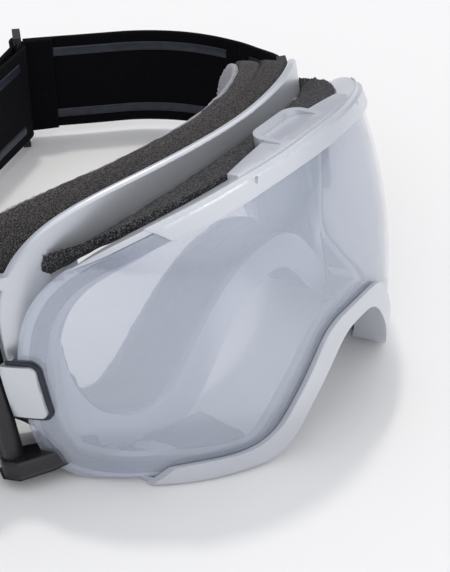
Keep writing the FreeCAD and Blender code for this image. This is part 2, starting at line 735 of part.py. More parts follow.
ends = {side: arm_end(side, sign) for side, sign in SIDES}
start = ends["right"] - Vector(TABLE.x, TABLE.y, 0)
right_arm = (0, start.z)
RIGHT_LEAD = 8.0
RIGHT_RUN = 44.0
RIGHT_BENDS = [(48.0, 52.0), (75.0, 45.0)]
RIGHT_SPLIT = 5
right_track = Track(start.x, start.y, 90 - size("splay_right")).straight(RIGHT_LEAD)
for radius, turn in RIGHT_BENDS:
    right_track.arc(radius, turn)
right = right_track.straight(RIGHT_RUN).stations
add_shape(webbing(right[:RIGHT_SPLIT + 1], right_arm), "strap_side_right", STRAP)

RING_HEADING = 225.0
LEFT_HEADING = 195.0
RING_BAR = size("ring_bar")
RING_PITCH = size("ring_gap") + RING_BAR
FOLD_GAP = 0.3
FOLD_IN = RING_BAR / 2 + FOLD_GAP
FOLD_OUT = FOLD_IN + WEB
FOLD_MIDDLE = (FOLD_IN + FOLD_OUT) / 2
WEB_LOW = REST_MIDDLE - HALF

end = right[-1]
far_bar = Vector(end[0], end[1], 0) + direction(end[2]) * FOLD_MIDDLE
near_bar = far_bar + direction(RING_HEADING) * RING_PITCH


def fold(centre, start_angle, sweep):
    """Webbing turned round an upright bar."""
    place = Vector(centre.x, centre.y, WEB_LOW)
    outer = Part.makeCylinder(FOLD_OUT, STRAP_HEIGHT, place, UP, sweep)
    inner = Part.makeCylinder(FOLD_IN, STRAP_HEIGHT, place, UP, 360)
    turned = outer.cut(inner)
    turned.rotate(place, UP, start_angle)
    return turned


rear_right = webbing(right[RIGHT_SPLIT:], right_arm).fuse(fold(far_bar, 0, 360))
add_shape(rear_right.removeSplitter(), "strap_rear_right", STRAP)
clear = Part.makeCylinder(FOLD_OUT + GRIP_OFF, STRAP_HEIGHT, Vector(far_bar.x, far_bar.y, WEB_LOW))
add_shape(grip_lines(right[RIGHT_SPLIT:], right_arm).cut(clear), "grip_lines_right", STRAP)

inward = direction(LEFT_HEADING + 90)
left_start = near_bar + inward * FOLD_MIDDLE
left_end = ends["left"] - Vector(TABLE.x, TABLE.y, 0)
LAST_HEADING = 270 + size("splay_left")
LEFT_BEND = 12.0
LEFT_SWEEP = 200.0
LEFT_MIDDLE_RUN = 8.0
LEFT_TURN = 56.0
LEFT_SPLIT = 6


def left_path(first, last):
    """The left track, with its first and its last straight run."""
    track = Track(left_start.x, left_start.y, LEFT_HEADING).straight(first)
    track.arc(LEFT_SWEEP, LEFT_BEND).straight(LEFT_MIDDLE_RUN)
    return track.arc(LEFT_TURN, LAST_HEADING - LEFT_HEADING - LEFT_BEND).straight(last)


def left_runs():
    """The two straight runs that bring the left track to its outrigger."""
    bends = left_path(0, 0)
    gap_x, gap_y = left_end.x - bends.x, left_end.y - bends.y
    a, b = direction(LEFT_HEADING), direction(LAST_HEADING)
    cross = a.x * b.y - a.y * b.x
    return (gap_x * b.y - gap_y * b.x) / cross, (a.x * gap_y - a.y * gap_x) / cross


left = left_path(*left_runs()).stations
left_arm = (left[-1][3], left_end.z)
add_shape(webbing(left[:LEFT_SPLIT], left_arm), "strap_rear_left", STRAP)
add_shape(webbing(left[LEFT_SPLIT - 1:], left_arm), "strap_side_left", STRAP)
add_shape(grip_lines(left[:LEFT_SPLIT], left_arm), "grip_lines_left", STRAP)

SLIDER_AT = 60.0
SLIDER_LENGTH = 2 * RING_PITCH + RING_BAR
TAIL_END = SLIDER_AT - SLIDER_LENGTH / 2 - 0.3
TAIL_GAP = 0.3
SLIDER_BARS = [(-3.3, -1.2), (1.7, 3.6), (-3.3, -1.2)]
SLIDER_EDGE = 0.8
RING_SPAN = "Sizes.ring_gap + Sizes.ring_bar"
RAIL = "Sizes.ring_bar * 0.8"
RING_HIGH = 2 * REST_MIDDLE - 0.5


def strap_tail():
    """Webbing that turns round the ring's near bar and lies doubled outside the strap."""
    stretch_end = left_start + direction(LEFT_HEADING) * TAIL_END - inward * (WEB + TAIL_GAP)
    wires = []
    for middle in (near_bar - inward * FOLD_MIDDLE, stretch_end):
        corners = []
        for height, step in ((0, -1), (STRAP_HEIGHT, -1), (STRAP_HEIGHT, 1), (0, 1)):
            corners.append(middle + inward * (step * WEB / 2) + UP * (WEB_LOW + height))
        wires.append(Part.makePolygon(corners + corners[:1]))
    doubled = Part.makeLoft(wires, True, True)
    return doubled.fuse(fold(near_bar, LEFT_HEADING + 90, 180)).removeSplitter()


def strap_ring(place):
    """Upright ring of two round bars between a top and a bottom block."""
    bars = []
    for index, along in enumerate((f"({RING_SPAN}) / 2", f"-({RING_SPAN}) / 2")):
        bars.append(primitive("Cylinder", f"ring_bar_{index}",
                              {"Radius": "Sizes.ring_bar / 2", "Height": RING_HIGH}, (along, 0, 0)))
    for name, low in (("low", 0), ("high", f"{RING_HIGH} - {RAIL}")):
        bars.append(primitive("Box", f"ring_{name}",
                              {"Length": f"{RING_SPAN} + Sizes.ring_bar", "Width": "Sizes.ring_bar + 0.6",
                               "Height": RAIL},
                              (f"-({RING_SPAN} + Sizes.ring_bar) / 2", "-(Sizes.ring_bar + 0.6) / 2", low)))
    ring = doc.addObject("Part::MultiFuse", "ring")
    ring.Shapes = bars
    return finish(ring, "strap_ring", place)


def strap_slider(place):
    """Flat three-bar adjuster; the strap weaves behind, in front of and behind its bars."""
    length = "3 * Sizes.ring_bar + 2 * Sizes.ring_gap"
    low, high = SLIDER_EDGE, 2 * REST_MIDDLE - SLIDER_EDGE
    near, far = SLIDER_BARS[0][0], SLIDER_BARS[1][1]
    frame = primitive("Box", "slider_block",
                      {"Length": length, "Width": far - near, "Height": high - low},
                      (f"-({length}) / 2", near, low))
    slot_low, slot_tall = f"{low} + {RAIL}", f"{high - low} - 2 * ({RAIL})"
    for index in (-1, 0):
        slot = primitive("Box", f"slider_slot_{index + 1}",
                         {"Length": "Sizes.ring_gap", "Width": far - near, "Height": slot_tall},
                         (f"{index} * Sizes.ring_gap + ({index} + 0.5) * Sizes.ring_bar", near, slot_low))
        frame = boolean("Cut", f"slider_open_{index + 1}", frame, slot)
    for index, (bar_near, bar_far) in enumerate(SLIDER_BARS):
        start, stop = (bar_far, far) if bar_near == near else (near, bar_near)
        relief = primitive("Box", f"slider_relief_{index}",
                           {"Length": RING_SPAN, "Width": stop - start, "Height": slot_tall},
                           (f"({index} - 1.5) * ({RING_SPAN})", start, slot_low))
        frame = boolean("Cut", f"slider_thin_{index}", frame, relief)
    return finish(frame, "strap_slider", place)


add_shape(strap_tail(), "strap_tail", STRAP)
ring_place = Placement(STRAP.multVec((far_bar + near_bar) * 0.5), Rotation(UP, RING_HEADING))
strap_ring(ring_place)
slider_middle = STRAP.multVec(left_start + direction(LEFT_HEADING) * SLIDER_AT)
strap_slider(Placement(slider_middle, Rotation(UP, LEFT_HEADING)))

LOOP_WIDE = 5.8
LOOP_WALL = 1.3
LOOP_BACK = 4.6
LOOP_FRONT = 1.8


def strap_loop(side, sign):
    """Webbing sewn round the strap bar of an outrigger."""
    reach = size("outrigger_length")
    long, low = LOOP_BACK + LOOP_FRONT, ARM_MIDDLE - HALF
    outer = Part.makeBox(LOOP_WIDE, long, STRAP_HEIGHT, Vector(-LOOP_WIDE / 2, reach - LOOP_BACK, low))
    inner = Part.makeBox(LOOP_WIDE - 2 * LOOP_WALL, long - 2 * LOOP_WALL, STRAP_HEIGHT + 2,
                         Vector(LOOP_WALL - LOOP_WIDE / 2, reach - LOOP_BACK + LOOP_WALL, low - 1))
    return add_shape(outer.cut(inner), f"strap_loop_{side}", hinge_frame(side, sign))


for side, sign in SIDES:
    strap_loop(side, sign)

doc.recompute()
for feature in doc.Objects:
    if "Invalid" in feature.State or "Error" in feature.State:
        raise RuntimeError(f"{feature.Label} failed to recompute: {feature.State}")
whole = FreeCAD.BoundBox()
for part in parts:
    if part.Shape.isNull() or not part.Shape.isValid():
        raise RuntimeError(f"{part.Label} has no valid shape")
    box = part.Shape.optimalBoundingBox(True)
    whole.add(box)
    print(f"{part.Label:24s} {len(part.Shape.Solids)} {part.Shape.Volume:9.0f} mm3"
          f"  x {box.XMin:7.1f} {box.XMax:7.1f}  y {box.YMin:7.1f} {box.YMax:7.1f}"
          f"  z {box.ZMin:6.1f} {box.ZMax:6.1f}")
    part.Shape.exportStep(f"parts/{part.Label}.step")
print(f"whole: centre {whole.Center.x:.2f} {whole.Center.y:.2f}, low {whole.ZMin:.2f},"
      f" size {whole.XLength:.1f} {whole.YLength:.1f} {whole.ZLength:.1f}")
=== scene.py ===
import json
import math

import bpy
from mathutils import Matrix, Vector, noise


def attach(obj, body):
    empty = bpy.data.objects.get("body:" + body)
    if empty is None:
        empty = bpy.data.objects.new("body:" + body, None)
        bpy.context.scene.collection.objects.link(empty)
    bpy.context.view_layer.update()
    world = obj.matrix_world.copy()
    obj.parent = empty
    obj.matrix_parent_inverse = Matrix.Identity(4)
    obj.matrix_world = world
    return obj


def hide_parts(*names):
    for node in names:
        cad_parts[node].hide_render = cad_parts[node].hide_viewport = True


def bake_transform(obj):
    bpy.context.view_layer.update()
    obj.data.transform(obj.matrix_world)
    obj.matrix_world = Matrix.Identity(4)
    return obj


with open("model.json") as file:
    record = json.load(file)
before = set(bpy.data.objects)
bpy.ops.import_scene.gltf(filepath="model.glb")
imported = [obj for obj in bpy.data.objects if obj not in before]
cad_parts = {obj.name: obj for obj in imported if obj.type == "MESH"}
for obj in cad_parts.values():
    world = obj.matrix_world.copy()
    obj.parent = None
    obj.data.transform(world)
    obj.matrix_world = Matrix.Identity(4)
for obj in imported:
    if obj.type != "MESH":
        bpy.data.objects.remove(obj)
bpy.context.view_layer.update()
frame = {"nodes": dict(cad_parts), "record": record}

NODES = frame["nodes"]
MM = 0.001

# ---------------------------------------------------------------- places from the design

APEX = Vector((-20.79, -112.62, 56.85)) * MM
TILT = math.radians(11.0)
LEAN_BACK = Matrix.Rotation(-TILT, 4, "X")
SIDES = (("left", -1), ("right", 1))


def goggles(x, y, z):
    """Row-frame place of a point given in the upright goggles' own frame, in mm from the lens apex."""
    return APEX + LEAN_BACK @ (Vector((x, y, z)) * MM)


# ---------------------------------------------------------------- materials

def node_tree(name):
    """A new material with its node tree and its Principled shader."""
    material = bpy.data.materials.new(name)
    material.use_nodes = True
    tree = material.node_tree
    return material, tree, tree.nodes["Principled BSDF"]


def add(tree, kind, **values):
    """A node with its properties and input values set."""
    node = tree.nodes.new(kind)
    for key, value in values.items():
        if hasattr(node, key):
            setattr(node, key, value)
        else:
            node.inputs[key.replace("_", " ")].default_value = value
    return node


def ramp(tree, source, stops):
    """A colour ramp over a 0..1 source; stops are (place, colour)."""
    node = tree.nodes.new("ShaderNodeValToRGB")
    elements = node.color_ramp.elements
    while len(elements) < len(stops):
        elements.new(0.5)
    for element, (place, colour) in zip(elements, stops):
        element.position = place
        element.color = (*colour, 1)
    tree.links.new(source, node.inputs["Fac"])
    return node.outputs["Color"]


def bump(tree, shader, height, strength, distance):
    """Bump from a height, onto a shader's normal."""
    node = add(tree, "ShaderNodeBump", Strength=strength, Distance=distance)
    tree.links.new(height, node.inputs["Height"])
    tree.links.new(node.outputs["Normal"], shader.inputs["Normal"])


def object_noise(tree, scale, detail=2.0, roughness=0.5):
    """Noise over the object's own coordinates."""
    coordinates = tree.nodes.new("ShaderNodeTexCoord")
    texture = add(tree, "ShaderNodeTexNoise", Scale=scale, Detail=detail, Roughness=roughness)
    tree.links.new(coordinates.outputs["Object"], texture.inputs["Vector"])
    return texture.outputs["Fac"]


def silver_shell():
    """Satin silver paint on moulded plastic, with a very fine metallic grain."""
    material, tree, shader = node_tree("silver_shell")
    shader.inputs["Metallic"].default_value = 0.62
    fine = object_noise(tree, 2600, 2)
    broad = object_noise(tree, 22, 3)
    colour = ramp(tree, broad, [(0.3, (0.60, 0.62, 0.665)), (0.7, (0.66, 0.68, 0.725))])
    tree.links.new(colour, shader.inputs["Base Color"])
    rough = ramp(tree, fine, [(0.35, (0.30, 0.30, 0.30)), (0.65, (0.40, 0.40, 0.40))])
    tree.links.new(rough, shader.inputs["Roughness"])
    shader.inputs["Coat Weight"].default_value = 0.15
    shader.inputs["Coat Roughness"].default_value = 0.25
    bump(tree, shader, fine, 0.10, 0.00006)
    return material


def mirror_lens():
    """Flash-mirror polycarbonate: partly seen through, with a cool reflection."""
    material, tree, shader = node_tree("mirror_lens")
    tint = object_noise(tree, 9, 1)
    colour = ramp(tree, tint, [(0.35, (0.68, 0.74, 0.85)), (0.65, (0.73, 0.77, 0.90))])
    tree.links.new(colour, shader.inputs["Base Color"])
    shader.inputs["Metallic"].default_value = 0.6
    shader.inputs["Roughness"].default_value = 0.07
    shader.inputs["Alpha"].default_value = 0.38
    shader.inputs["Coat Weight"].default_value = 0.6
    shader.inputs["Coat Roughness"].default_value = 0.03
    return material


def inner_lens():
    """Clear inner lens with an anti-fog film."""
    material, tree, shader = node_tree("inner_lens")
    film = object_noise(tree, 30, 2)
    colour = ramp(tree, film, [(0.3, (0.78, 0.82, 0.90)), (0.7, (0.84, 0.87, 0.93))])
    tree.links.new(colour, shader.inputs["Base Color"])
    shader.inputs["Roughness"].default_value = 0.05
    shader.inputs["Alpha"].default_value = 0.10
    return material


def foam(name, dark, light, cell, crest_highlight=None):
    """Open-cell foam: small dark pores between lighter cell walls, with scattered bright specks."""
    material, tree, shader = node_tree(name)
    coordinates = tree.nodes.new("ShaderNodeTexCoord")
    cells = add(tree, "ShaderNodeTexVoronoi", Scale=1 / cell, feature="DISTANCE_TO_EDGE")
    tree.links.new(coordinates.outputs["Object"], cells.inputs["Vector"])
    specks = object_noise(tree, 0.9 / cell, 3, 0.7)
    mixed = add(tree, "ShaderNodeMath", operation="MULTIPLY_ADD")
    tree.links.new(specks, mixed.inputs[0])
    mixed.inputs[1].default_value = 1.1
    tree.links.new(cells.outputs["Distance"], mixed.inputs[2])
    pale = tuple(min(1, c * 3.5 + 0.02) for c in light)
    colour = ramp(tree, mixed.outputs[0], [(0.42, dark), (0.68, light), (0.86, pale)])
    # Optional painted highlight: convex edges lightened towards the crest highlight colour.
    if crest_highlight:
        tree.links.new(painted_edge_highlight(tree, colour, crest_highlight), shader.inputs["Base Color"])
    else:
        tree.links.new(colour, shader.inputs["Base Color"])
    shader.inputs["Roughness"].default_value = 0.95
    shader.inputs["Specular IOR Level"].default_value = 0.2
    shader.inputs["Sheen Weight"].default_value = 0.04
    bump(tree, shader, mixed.outputs[0], 0.9, cell * 0.5)
    return material


def painted_edge_highlight(tree, colour, pale):
    """The colour with a painted highlight: lightened up to half-way towards a pale colour along convex
    edges.
    """
    geometry = tree.nodes.new("ShaderNodeNewGeometry")
    edges = ramp(tree, geometry.outputs["Pointiness"], [(0.50, (0, 0, 0)), (0.58, (1, 1, 1))])
    mix = tree.nodes.new("ShaderNodeMix")
    mix.data_type = "RGBA"
    soft = add(tree, "ShaderNodeMath", operation="MULTIPLY")
    soft.inputs[1].default_value = 0.5
    tree.links.new(edges, soft.inputs[0])
    tree.links.new(soft.outputs[0], mix.inputs["Factor"])
    tree.links.new(colour, mix.inputs["A"])
    mix.inputs["B"].default_value = (*pale, 1)
    return mix.outputs["Result"]


def fleece():
    """Brushed face fleece."""
    material, tree, shader = node_tree("fleece")
    fibres = object_noise(tree, 900, 5, 0.75)
    colour = ramp(tree, fibres, [(0.3, (0.14, 0.14, 0.17)), (0.7, (0.34, 0.34, 0.39))])
    tree.links.new(colour, shader.inputs["Base Color"])
    shader.inputs["Roughness"].default_value = 1.0
    shader.inputs["Sheen Weight"].default_value = 0.6
    bump(tree, shader, fibres, 0.8, 0.0004)
    return material


def moulded(name, dark, light, rough):
    """Fine-grained moulded plastic or rubber."""
    material, tree, shader = node_tree(name)
    grain = object_noise(tree, 1600, 3)
    colour = ramp(tree, grain, [(0.3, dark), (0.7, light)])
    tree.links.new(colour, shader.inputs["Base Color"])
    shader.inputs["Roughness"].default_value = rough
    bump(tree, shader, grain, 0.25, 0.00012)
    return material


def steel():
    """Turned pin steel."""
    material, tree, shader = node_tree("pin_steel")
    lines = object_noise(tree, 400, 1)
    shade = ramp(tree, lines, [(0.3, (0.42, 0.43, 0.45)), (0.7, (0.58, 0.59, 0.61))])
    tree.links.new(shade, shader.inputs["Base Color"])
    shader.inputs["Metallic"].default_value = 1.0
    shader.inputs["Roughness"].default_value = 0.3
    bump(tree, shader, lines, 0.15, 0.0001)
    return material


def webbing_cloth():
    """Woven elastic: close ribs across the strap and ends along it, from the strap's UVs in mm."""
    material, tree, shader = node_tree("webbing")
    coordinates = tree.nodes.new("ShaderNodeTexCoord")
    waves = []
    for direction, pitch in (("X", 0.9), ("Y", 0.7)):
        wave = add(tree, "ShaderNodeTexWave", Scale=math.pi / (10 * pitch), Distortion=0.6)
        wave.bands_direction = direction
        wave.inputs["Detail"].default_value = 1.0
        tree.links.new(coordinates.outputs["UV"], wave.inputs["Vector"])
        waves.append(wave.outputs["Fac"])
    weave = add(tree, "ShaderNodeMath", operation="MULTIPLY")
    tree.links.new(waves[0], weave.inputs[0])
    tree.links.new(waves[1], weave.inputs[1])
    colour = ramp(tree, weave.outputs[0],
                  [(0.1, (0.0008, 0.0008, 0.0015)), (0.9, (0.005, 0.005, 0.009))])
    tree.links.new(colour, shader.inputs["Base Color"])
    shader.inputs["Roughness"].default_value = 0.85
    shader.inputs["Specular IOR Level"].default_value = 0.10
    shader.inputs["Sheen Weight"].default_value = 0.01
    bump(tree, shader, weave.outputs[0], 0.7, 0.0002)
    return material


def silicone():
    """Glossy dark grip silicone, a little uneven."""
    material, tree, shader = node_tree("silicone")
    uneven = object_noise(tree, 260, 3)
    colour = ramp(tree, uneven, [(0.3, (0.005, 0.008, 0.018)), (0.7, (0.018, 0.022, 0.040))])
    tree.links.new(colour, shader.inputs["Base Color"])
    shader.inputs["Roughness"].default_value = 0.42
    bump(tree, shader, uneven, 0.5, 0.0002)
    return material


MATERIALS = {
    "silver_shell": silver_shell(),
    "mirror_lens": mirror_lens(),
    "inner_lens": inner_lens(),
    "gasket_foam": foam("gasket_foam", (0.02, 0.02, 0.025), (0.07, 0.07, 0.09), 0.5 * MM),
    "seal_rubber": moulded("seal_rubber", (0.006, 0.008, 0.018), (0.014, 0.018, 0.035), 0.45),
    "dense_foam": foam("dense_foam", (0.006, 0.0055, 0.0055), (0.024, 0.022, 0.022), 0.55 * MM),
    # The soft foam's last colour is a painted highlight along its convex edges.
    "soft_foam": foam("soft_foam", (0.008, 0.007, 0.007), (0.030, 0.027, 0.027), 0.60 * MM,
                      (0.13, 0.12, 0.12)),
    "vent_foam": foam("vent_foam", (0.007, 0.007, 0.0075), (0.028, 0.028, 0.030), 0.75 * MM),
    "fleece": fleece(),
    "black_plastic": moulded("black_plastic", (0.006, 0.006, 0.008), (0.016, 0.016, 0.019), 0.38),
    "pin_steel": steel(),
    "webbing": webbing_cloth(),
    "silicone": silicone(),
}
SLOT_OF = {entry["node"]: entry["material_slot"] for entry in frame["record"]["subparts"]}
BODY_OF = {}
for body, names in frame["record"]["behaviour"]["bodies"].items():
    for name in names:
        BODY_OF[name] = body

EDGE = {"front_frame": 0.35, "brow_band": 0.35, "nose_band": 0.45, "strap_ring": 0.7,
        "strap_slider": 0.5, "outrigger_left": 0.8, "outrigger_right": 0.8,
        "lens_clip_left": 0.45, "lens_clip_right": 0.45, "hinge_lugs_left": 0.6,
        "hinge_lugs_right": 0.6, "outer_lens": 0.3}

for name, node in NODES.items():
    node.data.materials.clear()
    node.data.materials.append(MATERIALS[SLOT_OF[name]])
    if name in EDGE:
        weld = node.modifiers.new("weld", "WELD")
        weld.merge_threshold = 0.00001
        rounded = node.modifiers.new("rounded_edges", "BEVEL")
        rounded.width = EDGE[name] * MM
        rounded.segments = 3
        rounded.limit_method = "ANGLE"
        rounded.angle_limit = math.radians(40)

# ---------------------------------------------------------------- soft pieces from their CAD solids

def link(obj, body, slot_name, *replaced):
    """Put a new piece into the scene, on a body, in place of CAD nodes."""
    if obj.name not in bpy.context.scene.collection.all_objects:
        bpy.context.scene.collection.objects.link(obj)
    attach(obj, body)
    if replaced:
        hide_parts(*replaced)


def bake_modifiers(obj):
    """Replace an object's mesh with its modified one."""
    bpy.context.view_layer.update()
    depsgraph = bpy.context.evaluated_depsgraph_get()
    mesh = bpy.data.meshes.new_from_object(obj.evaluated_get(depsgraph))
    obj.modifiers.clear()
    obj.data = mesh
    for polygon in mesh.polygons:
        polygon.use_smooth = True


def foam_piece(node_name, voxel, smoothing, ripple, ripple_size):
    """Soft foam with rounded corners and a slightly uneven surface, in the space of a CAD solid."""
    source = NODES[node_name]
    obj = bpy.data.objects.new(f"{node_name}_soft", source.data.copy())
    bpy.context.scene.collection.objects.link(obj)
    remesh = obj.modifiers.new("remesh", "REMESH")
    remesh.mode = "VOXEL"
    remesh.voxel_size = voxel * MM
    smooth = obj.modifiers.new("smooth", "SMOOTH")
    smooth.factor = 0.5
    smooth.iterations = smoothing
    bake_modifiers(obj)
    normals = [vertex.normal.copy() for vertex in obj.data.vertices]
    for vertex, normal in zip(obj.data.vertices, normals):
        lift = noise.noise(vertex.co / (ripple_size * MM))
        vertex.co += normal * lift * ripple * MM
    obj.data.materials.clear()
    obj.data.materials.append(MATERIALS[SLOT_OF[node_name]])
    link(obj, BODY_OF[node_name], SLOT_OF[node_name], node_name)


# Each foam's voxel size, smoothing rounds, ripple height and ripple length, in mm.
FOAMS = [("face_foam_base", 1.1, 8, 0.25, 9), ("face_foam_comfort", 1.1, 22, 0.35, 12),
         ("face_fleece", 0.7, 4, 0.2, 6), ("vent_foam_top", 0.9, 3, 0.25, 4),
         ("vent_foam_bottom_left", 0.7, 3, 0.1, 4), ("vent_foam_bottom_right", 0.7, 3, 0.1, 4)]
for foam_name, voxel, smoothing, ripple, ripple_size in FOAMS:
    foam_piece(foam_name, voxel, smoothing, ripple, ripple_size)

# ---------------------------------------------------------------- boots over the lower hinge lugs

BOOT_PLAN = [(70.5, 60), (88, 68.2), (96.4, 74.6), (97.6, 80.2), (94.5, 84.9), (90.0, 83.4), (86, 80)]
BOOT_LOW = -38.2
BOOT_HIGH = -32.4


def hinge_boot(side, sign):
    """Black moulded boot that hides the lower lug of an outrigger's hinge."""
    count = len(BOOT_PLAN)
    points = [goggles(sign * x, y, z) for z in (BOOT_LOW, BOOT_HIGH) for x, y in BOOT_PLAN]
    faces = [tuple(range(count)), tuple(range(count, 2 * count))]
    faces += [(i, (i + 1) % count, (i + 1) % count + count, i + count) for i in range(count)]
    mesh = bpy.data.meshes.new(f"hinge_boot_{side}")
    mesh.from_pydata(points, [], faces)
    obj = bpy.data.objects.new(f"hinge_boot_{side}", mesh)
    bpy.context.scene.collection.objects.link(obj)
    rounded = obj.modifiers.new("rounded_edges", "BEVEL")
    rounded.width = 1.1 * MM
    rounded.segments = 4
    bake_modifiers(obj)
    obj.data.materials.append(MATERIALS["black_plastic"])
    link(obj, "root", "black_plastic")


for side, sign in SIDES:
    hinge_boot(side, sign)

# ---------------------------------------------------------------- strap

WEB = 1.8
REST_MIDDLE = 28.0
SETTLE = 45.0
FOLD = 2.7
RING_PITCH = 8.0
PIN_X = 92.5
PIN_Y = 79.6
SPLAY = {"left": 12.0, "right": 52.0}
ARM_REACH = 32.2
ARM_MIDDLE = -3.0
STEP = 1.6
TURN_LENGTH = 0.01
RIPPLE_ALONG = 26.0
RIPPLE_UP = 30.0
UP = Vector((0, 0, 1))
LEAN = LEAN_BACK.to_3x3() @ UP


def direction(heading):
    """Level unit vector along a heading, in degrees from +X."""
    return Vector((math.cos(math.radians(heading)), math.sin(math.radians(heading)), 0))


class Track:
    """Plan path of the webbing in mm, walked in short steps: (place, heading, walked)."""

    def __init__(self, place, heading):
        self.stations = [(place.copy(), heading, 0.0)]

    def step(self, length, turn):
        """Move along a chord whose heading is halfway through the turn."""
        place, heading, walked = self.stations[-1]
        place = place + direction(heading + turn / 2) * length
        self.stations.append((place, heading + turn, walked + length))

    def turn(self, angle):
        """Turn almost on the spot."""
        self.step(TURN_LENGTH, angle)

    def straight(self, length):
        """Level straight run."""
        count = max(1, math.ceil(abs(length) / STEP))
        for _ in range(count):
            self.step(length / count, 0)
        return self

    def arc(self, radius, turn):
        """Part of a circle; a positive turn goes to the left."""
        count = max(4, math.ceil(radius * math.radians(abs(turn)) / STEP))
        for _ in range(count):
            self.step(2 * radius * math.sin(math.radians(abs(turn) / count) / 2), turn / count)
        return self


def arm_end(side, sign):
    """Place of the strap bar of an outrigger, in mm from the row's origin."""
    turn = Matrix.Rotation(math.radians(-sign * SPLAY[side]), 4, "Z")
    return goggles(*(Vector((sign * PIN_X, PIN_Y, 0)) + turn @ Vector((0, ARM_REACH, ARM_MIDDLE)))) / MM


def sweep(name, stations, arm, profile, wave=0.0):
    """Closed mesh through the stations; profile lists (height, depth) round the section, in mm.

    arm is the walk and the height where the webbing meets its outrigger, and wave is the
    height of the slow ripple across the webbing.
    """
    points, faces, uvs = [], [], []
    count = len(profile)
    for place, heading, walked in stations:
        share = min(abs(walked - arm[0]) / SETTLE, 1.0)
        share = share * share * (3 - 2 * share)
        up = (LEAN * (1 - share) + UP * share).normalized()
        inner = direction(heading + 90)
        middle = Vector((place.x, place.y, arm[1] * (1 - share) + REST_MIDDLE * share))
        for height, depth in profile:
            ripple = wave * noise.noise(Vector((walked / RIPPLE_ALONG, height / RIPPLE_UP, arm[1])))
            points.append((middle + up * height + inner * (depth + ripple)) * MM)
            uvs.append((walked, height))
    rows = len(stations)
    for row in range(rows - 1):
        for column in range(count):
            a, b = row * count + column, row * count + (column + 1) % count
            faces.append((a, b, b + count, a + count))
    faces.append(tuple(reversed(range(count))))
    faces.append(tuple(range((rows - 1) * count, rows * count)))
    mesh = bpy.data.meshes.new(name)
    mesh.from_pydata(points, [], faces)
    layer = mesh.uv_layers.new(name="woven")
    for loop in mesh.loops:
        layer.data[loop.index].uv = uvs[loop.vertex_index]
    for polygon in mesh.polygons:
        polygon.use_smooth = True
    mesh.update()
    return bpy.data.objects.new(name, mesh)


def web_profile():
    """Flat woven section with soft corners and a slightly thicker selvedge."""
    heights = [-22.3, -21.2, -20.4, -17, -12, -6, 0, 6, 12, 17, 20.4, 21.2, 22.3]
    half_thick = [0.98, 1.04] + [WEB / 2] * 9 + [1.04, 0.98]
    near = [(height, -thick) for height, thick in zip(heights, half_thick)]
    far = [(height, thick) for height, thick in zip(reversed(heights), half_thick)]
    edge_high = [(22.85, -0.55), (23.0, 0), (22.85, 0.55)]
    edge_low = [(-22.85, 0.55), (-23.0, 0), (-22.85, -0.55)]
    return near + edge_high + far + edge_low


def grip_profile(low, high):
    """Low dome of silicone on the inside of the webbing."""
    inner = WEB / 2
    return [(low, inner - 0.05), (low + 0.25, inner + 0.25), (low + 1.2, inner + 0.42),
            (high - 1.2, inner + 0.42), (high - 0.25, inner + 0.25), (high, inner - 0.05)]


def smooth_piece(obj, body, material, *replaced):
    """A swept piece with its material, riding on a body unless it is to be blended."""
    obj.data.materials.append(MATERIALS[material])
    bpy.context.scene.collection.objects.link(obj)
    if body:
        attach(obj, body)
    if replaced:
        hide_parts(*replaced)


def cut_at(stations, walk):
    """Index of the station nearest to a walk."""
    return min(range(len(stations)), key=lambda i: abs(stations[i][2] - walk))


GRIPS = [(-18.0, -13.5), (13.5, 18.0)]
GRIP_END = 4
WAVE = 0.35
PROFILE = web_profile()


def blended(obj):
    """Bake the placement of a side stretch between the goggles and an outrigger into its mesh."""
    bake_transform(obj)


RIGHT_LEAD = 8.0
RIGHT_BENDS = [(48.0, 52.0), (75.0, 45.0)]
RIGHT_RUN = 44.0
RING_HEADING = 225.0
LEFT_HEADING = 195.0
LAST_HEADING = 270 + SPLAY["left"]
LEFT_SWEEP = 200.0
LEFT_BEND = 12.0
LEFT_MIDDLE_RUN = 8.0
LEFT_TURN = 56.0
NO_RUN = 0.001

ends = {side: arm_end(side, sign) for side, sign in SIDES}
right_arm = (0, ends["right"].z)
right_start = Vector((ends["right"].x, ends["right"].y, 0))
right_path = Track(right_start, 90 - SPLAY["right"]).straight(RIGHT_LEAD)
for radius, bend in RIGHT_BENDS:
    right_path.arc(radius, bend)
end_place, end_heading, _ = right_path.straight(RIGHT_RUN).stations[-1]
far_bar = end_place + direction(end_heading) * FOLD
near_bar = far_bar + direction(RING_HEADING) * RING_PITCH
inward = direction(LEFT_HEADING + 90)
left_start = near_bar + inward * FOLD


def left_path(first, last):
    """The left track, with its first and its last straight run."""
    track = Track(left_start, LEFT_HEADING).straight(first)
    track.arc(LEFT_SWEEP, LEFT_BEND).straight(LEFT_MIDDLE_RUN)
    return track.arc(LEFT_TURN, LAST_HEADING - LEFT_HEADING - LEFT_BEND).straight(last)


bends = left_path(NO_RUN, NO_RUN).stations[-1][0]
gap = Vector((ends["left"].x, ends["left"].y, 0)) - bends
first_way, last_way = direction(LEFT_HEADING), direction(LAST_HEADING)
cross = first_way.x * last_way.y - first_way.y * last_way.x
first_run = (gap.x * last_way.y - gap.y * last_way.x) / cross
last_run = (first_way.x * gap.y - first_way.y * gap.x) / cross
left_track = left_path(first_run, last_run)
left_arm = (left_track.stations[-1][2], ends["left"].z)

# How far each side stretch reaches along the webbing from its outrigger.
RIGHT_SIDE = 51.5
LEFT_SIDE = 95.0


